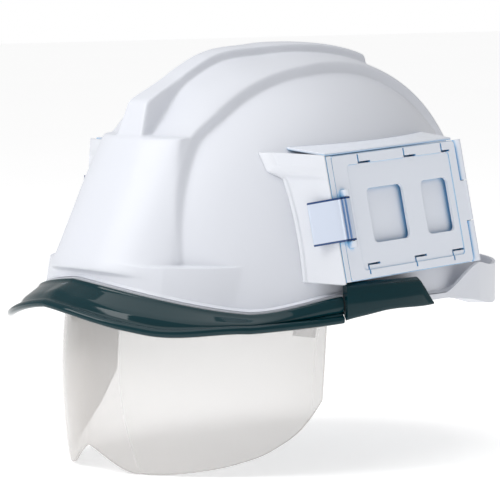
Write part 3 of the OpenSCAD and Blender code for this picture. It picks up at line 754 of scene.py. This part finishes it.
def make_latch(side, name):
    """One clear moulding; its top and bottom ends carry painted shade, a dark blue standing in for the shade
    in the gaps round it and the refraction along its edges.
    """
    rings = []
    for z in (LATCH_LOW, LATCH_LOW + 0.3, LATCH_LOW + 1.1, LATCH_HIGH - 1.1, LATCH_HIGH - 0.3, LATCH_HIGH):
        outline = latch_outline()
        if z in (LATCH_LOW, LATCH_HIGH):
            outline = outline + (outline.mean(0) - outline) * 0.02
        rings.append(in_case(outline[:, 0], outline[:, 1], z))
    piece = swept(name + "_latch", mirrored(rings, side), name + "_latch", latch_clear,
                  [name + "_case_latch"])
    # painted shade: the side bands within 1.1 mm of the latch's top and bottom take the dark blue
    piece.data.materials.append(painted_edge_shade)
    for polygon in piece.data.polygons:
        band = polygon.index // len(latch_outline())
        polygon.material_index = 1 if band in (0, 1, 3, 4) else 0
    mark_sharp(piece, 30)


for side_sign, side_name in ((1, "left"), (-1, "right")):
    make_latch(side_sign, side_name)
    make_rim_panel(side_sign, side_name)
    make_bracket(side_sign, side_name)
    make_flange(side_sign, side_name)

# ---------------------------------------------------------------- liner and cradle
LINER_Z, LINER_GAP, LINER_T = 50, 8, 13
BAND_W, BAND_L, BAND_Z, BAND_H, BAND_T = 76, 97, -12, 30, 1.6


def inner_dome(a, t, g):
    h = DOME_TOP - BASE_Z - g
    low = math.degrees(math.asin(((LINER_Z - BASE_Z) / h) ** (RISE_EXP / 2)))
    e = np.radians(mix(low, 90, t))
    z = BASE_Z + h * np.sin(e) ** (2 / RISE_EXP)
    d = plan(a)
    length = np.where(d[..., 1] < 0, DOME_FRONT - 16, DOME_REAR) - g
    r = 1 / np.hypot(d[..., 0] / (DOME_W - g), d[..., 1] / length)
    out = level_plan(a) * (r * np.maximum(np.cos(e), 0) ** (2 / RISE_EXP))[..., None]
    return out + np.stack(np.broadcast_arrays(0.0, dome_shift(z), z), -1)


def make_liner():
    a = np.arange(0, 360, 2)
    t = np.arange(30) / 30
    grid_a, grid_t = np.meshgrid(a, t, indexing="ij")
    columns = np.concatenate([inner_dome(grid_a, grid_t, LINER_GAP + LINER_T)[:, ::-1],
                              inner_dome(grid_a, grid_t, LINER_GAP)], 1)
    crowns = [inner_dome(np.array(0.0), np.array(1.0), g) for g in (LINER_GAP + LINER_T, LINER_GAP)]
    piece = domed("impact_liner", columns, crowns, foam, ["foam_liner"])
    bevel(piece, 1.5, 3, 40)


make_liner()


def oval(a, g):
    d = plan(a)
    return level_plan(a) / np.hypot(d[..., 0] / (BAND_W + g), d[..., 1] / (BAND_L + g))[..., None]


def oval_band(name, g, thick, low, high, start, end, material, node):
    a = np.linspace(start, end, 120)
    outer, inner = oval(a, g), oval(a, g - thick)
    ring = np.stack([inner + [0, 0, low], inner + [0, 0, high], outer + [0, 0, high], outer + [0, 0, low]], 1)
    piece = swept(name, ring, "nape" if node == "nape_band" else "hat", material, [node])
    bevel(piece, 0.5, 3, 40)
    return piece


NAPE_GAP, NAPE_T, NAPE_H = 1.8, 2, 26
oval_band("headband_strip", 0, BAND_T, BAND_Z, BAND_Z + BAND_H, -146, 146,
          grey_plastic, "headband")
oval_band("nape_strip", -BAND_T - NAPE_GAP, NAPE_T, BAND_Z, BAND_Z + NAPE_H, 118, 242,
          grey_plastic, "nape_band")


def inflate(piece, pressure, voxel_mm):
    """Turns a closed form into a stuffed one: its cloth is blown up from the inside and left to settle."""
    modifier = piece.modifiers.new("mesh", "REMESH")
    modifier.mode = "VOXEL"
    modifier.voxel_size = voxel_mm * MM
    apply_modifiers(piece)
    cloth = piece.modifiers.new("cloth", "CLOTH")
    cloth.settings.use_pressure = True
    cloth.settings.uniform_pressure_force = pressure
    cloth.settings.effector_weights.gravity = 0
    cloth.settings.quality = 6
    cloth.settings.shrink_min = -0.02
    cloth.point_cache.frame_start = 1
    cloth.point_cache.frame_end = 20
    scene = bpy.context.scene
    for frame_number in range(1, 21):
        scene.frame_set(frame_number)
    apply_modifiers(piece)
    scene.frame_set(1)
    smoother = piece.modifiers.new("smooth", "SUBSURF")
    smoother.levels = 1
    smoother.render_levels = 1
    apply_modifiers(piece)
    for polygon in piece.data.polygons:
        polygon.use_smooth = True


def make_brow_pad():
    a = np.linspace(-56, 56, 40)
    outer, inner = oval(a, -BAND_T - 0.7), oval(a, -BAND_T - 3.9)
    low, high = BAND_Z + 1.6, BAND_Z + BAND_H - 1.6
    ring = np.stack([inner + [0, 0, low], inner + [0, 0, high], outer + [0, 0, high], outer + [0, 0, low]], 1)
    piece = swept("brow_cushion", ring, "hat", pad_fabric, ["brow_pad"])
    inflate(piece, 2.0, 2.5)


make_brow_pad()

# ---------------------------------------------------------------- straps and liner pads
STRAP_ANGLES, STRAP_W, STRAP_T, STRAP_INSET, STRAP_LIFT = (35, 90, 145), 18, 1.2, 3.6, 2.6
CRADLE_TOP, CRADLE_EXP = 64, 1.8


def make_strap(angle, lift_mm):
    """One cradle strap, arched over the head from one side of the headband to the other."""
    low, high = BAND_Z + BAND_H + 1, CRADLE_TOP + lift_mm
    e = np.radians(np.linspace(0, 180, 120))[:, None]
    across = np.array([math.cos(math.radians(angle)), math.sin(math.radians(angle)), 0]) * STRAP_W / 2
    ahead, behind = (np.linalg.norm(oval(np.array(float(v)), -STRAP_INSET)) for v in (angle, angle + 180))
    r = np.where(np.cos(e) > 0, ahead, behind)
    power = 2 / CRADLE_EXP
    outward = level_plan(float(angle)) * np.cos(e)
    p = outward * r * np.abs(np.cos(e)) ** (power - 1)
    p = p + [0, 0, 1] * (low + (high - low) * np.sin(e) ** power)
    out = outward + [0, 0, 1] * np.sin(e)
    ring = []
    for u in np.linspace(-1, 1, 9):
        ring.append(p + across * u + out * 0.05)
    for u in np.linspace(1, -1, 9):
        ring.append(p + across * u + out * (STRAP_T * (1 - 0.25 * u ** 8)))
    return np.stack(ring, 1)


def join_pieces(pieces, name):
    """Several meshes made into one object, each still its own closed part."""
    mesh = bpy.data.meshes.new(name)
    bm = bmesh.new()
    for piece in pieces:
        bm.from_mesh(piece.data)
    bm.to_mesh(mesh)
    bm.free()
    mesh.materials.append(pieces[0].data.materials[0])
    for piece in pieces:
        bpy.data.objects.remove(piece)
    joined = bpy.data.objects.new(name, mesh)
    bpy.context.scene.collection.objects.link(joined)
    for polygon in mesh.polygons:
        polygon.use_smooth = True
    return joined


def make_straps():
    pieces = [swept("strap", make_strap(a, i * STRAP_LIFT), "hat", webbing)
              for i, a in enumerate(STRAP_ANGLES)]
    straps = join_pieces(pieces, "crown_straps")
    mark_sharp(straps, 60)
    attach(straps, "hat")
    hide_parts("cradle_straps")


make_straps()


def make_liner_pads():
    """Each pad is crowned like a pressed foam disc, and follows the place and tilt of its CAD solid."""
    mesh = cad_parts["liner_pads"].data
    points = np.array([v.co for v in mesh.vertices]) / MM
    pieces = []
    for sx in (1, -1):
        side = points[points[:, 0] * sx > 0]
        rearward = side[:, 1] > np.mean([side[:, 1].min(), side[:, 1].max()])
        for group in (side[rearward], side[~rearward]):
            centre = (group.min(0) + group.max(0)) / 2
            axis = np.linalg.svd(group - group.mean(0))[2][2]
            axis = axis * np.sign(axis[2])
            half = np.abs((group - centre) @ axis).max()
            radius = np.linalg.norm(group - centre, axis=1).max()
            pieces.append(make_disc(centre, axis, radius, half))
    pads = join_pieces(pieces, "comfort_pads")
    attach(pads, "hat")
    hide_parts("liner_pads")


def make_disc(centre, axis, radius, half):
    u = np.cross(axis, [0, 1, 0])
    u = u / np.linalg.norm(u)
    v = np.cross(axis, u)
    turn = np.linspace(0, 2 * math.pi, 48, endpoint=False)[:, None]
    rim = np.cos(turn) * u + np.sin(turn) * v
    rings = []
    for e in np.radians(np.linspace(-88, 88, 17)):
        out = radius * 0.96 * math.cos(e) ** 0.35
        rings.append(centre + rim * out + axis * half * math.sin(e))
    return swept("pad", np.stack(rings, 0), "hat", pad_fabric)


make_liner_pads()

# ---------------------------------------------------------------- finishes of the CAD pieces
FINISHES = {
    "shield_rail": rail_clear, "shield_slider": rail_clear, "shield_screws": steel,
    "hanger_clips": grey_plastic, "ratchet_housing": grey_plastic, "ratchet_knob": dark_plastic,
    "ratchet_pinion": white_nylon, "case_tray": case_clear, "case_door": case_clear,
    "door_pin": steel, "latch_pin": steel, "bracket_screws": steel,
    "strap_anchors": white_nylon,
}
for node_name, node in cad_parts.items():
    finish = FINISHES.get(node_name.removeprefix("left_").removeprefix("right_"))
    if finish:
        node.data.materials.clear()
        node.data.materials.append(finish)

# ---------------------------------------------------------------- camera, light and floor
CAMERA_AZIMUTH, CAMERA_ELEVATION = math.radians(50), math.radians(5.2)
CAMERA_DISTANCE, VIEW_WIDTH, SENSOR = 2.0, 0.2857, 36.0
RIGHT = Vector((math.cos(CAMERA_AZIMUTH), math.sin(CAMERA_AZIMUTH), 0))
BACK = Vector((math.sin(CAMERA_AZIMUTH) * math.cos(CAMERA_ELEVATION),
               -math.cos(CAMERA_AZIMUTH) * math.cos(CAMERA_ELEVATION), math.sin(CAMERA_ELEVATION)))
UP = BACK.cross(RIGHT)


def aim(thing, place, target):
    thing.location = place
    thing.rotation_euler = (Vector(target) - Vector(place)).to_track_quat("-Z", "Y").to_euler()


def make_camera():
    data = bpy.data.cameras.new("camera")
    data.lens = SENSOR * CAMERA_DISTANCE / VIEW_WIDTH
    data.sensor_width = SENSOR
    camera = bpy.data.objects.new("camera", data)
    bpy.context.scene.collection.objects.link(camera)
    target = RIGHT * -0.008 + UP * 0.00977
    aim(camera, target + BACK * CAMERA_DISTANCE, target)
    bpy.context.scene.camera = camera


def make_light(name, direction, distance, size, power):
    data = bpy.data.lights.new(name, "AREA")
    data.size = size
    data.energy = power
    light = bpy.data.objects.new(name, data)
    bpy.context.scene.collection.objects.link(light)
    aim(light, direction.normalized() * distance, (0, 0, 0))


def make_world():
    """White to the camera; as a light, bright from one side and fading to the other."""
    world = bpy.data.worlds.new("studio")
    bpy.context.scene.world = world
    world.use_nodes = True
    tree = world.node_tree
    tree.nodes.clear()
    place = tree.nodes.new("ShaderNodeTexCoord")
    side = tree.nodes.new("ShaderNodeVectorMath")
    side.operation = "DOT_PRODUCT"
    side.inputs[1].default_value = RIGHT
    fade = tree.nodes.new("ShaderNodeMapRange")
    fade.inputs["From Min"].default_value = -1
    fade.inputs["From Max"].default_value = 1
    fade.inputs["To Min"].default_value = 0.72
    fade.inputs["To Max"].default_value = 0.46
    lit = tree.nodes.new("ShaderNodeBackground")
    seen = tree.nodes.new("ShaderNodeBackground")
    seen.inputs["Strength"].default_value = 1.0
    seen.inputs["Color"].default_value = (1, 1, 1, 1)
    path = tree.nodes.new("ShaderNodeLightPath")
    mixer = tree.nodes.new("ShaderNodeMixShader")
    output = tree.nodes.new("ShaderNodeOutputWorld")
    tree.links.new(place.outputs["Generated"], side.inputs[0])
    tree.links.new(side.outputs["Value"], fade.inputs["Value"])
    tree.links.new(fade.outputs[0], lit.inputs["Strength"])
    tree.links.new(path.outputs["Is Camera Ray"], mixer.inputs["Fac"])
    tree.links.new(lit.outputs[0], mixer.inputs[1])
    tree.links.new(seen.outputs[0], mixer.inputs[2])
    tree.links.new(mixer.outputs[0], output.inputs["Surface"])


def make_floor():
    mesh = bpy.data.meshes.new("floor")
    half, level = 6.0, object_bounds()[0].z - 0.0005
    mesh.from_pydata([(x * half, y * half, level) for x, y in ((-1, -1), (1, -1), (1, 1), (-1, 1))], [],
                     [(0, 1, 2, 3)])
    floor = bpy.data.objects.new("floor", mesh)
    bpy.context.scene.collection.objects.link(floor)
    n = Nodes("floor_white")
    n.colours(n.noise(4, 2), "Fac", (0.95, 0.95, 0.95), (0.98, 0.98, 0.98))
    n.set(Roughness=0.9, Emission_Color=(1.0, 1.0, 1.0), Emission_Strength=0.5)
    mesh.materials.append(n.material)


make_camera()
make_light("key", -RIGHT * 0.9 + BACK * 0.5 + Vector((0, 0, 0.9)), 1.2, 0.6, 6)
make_light("top", BACK * 0.1 + Vector((0, 0, 1)), 1.4, 1.2, 6)
make_world()
make_floor()
bpy.context.scene.view_settings.view_transform = "Standard"
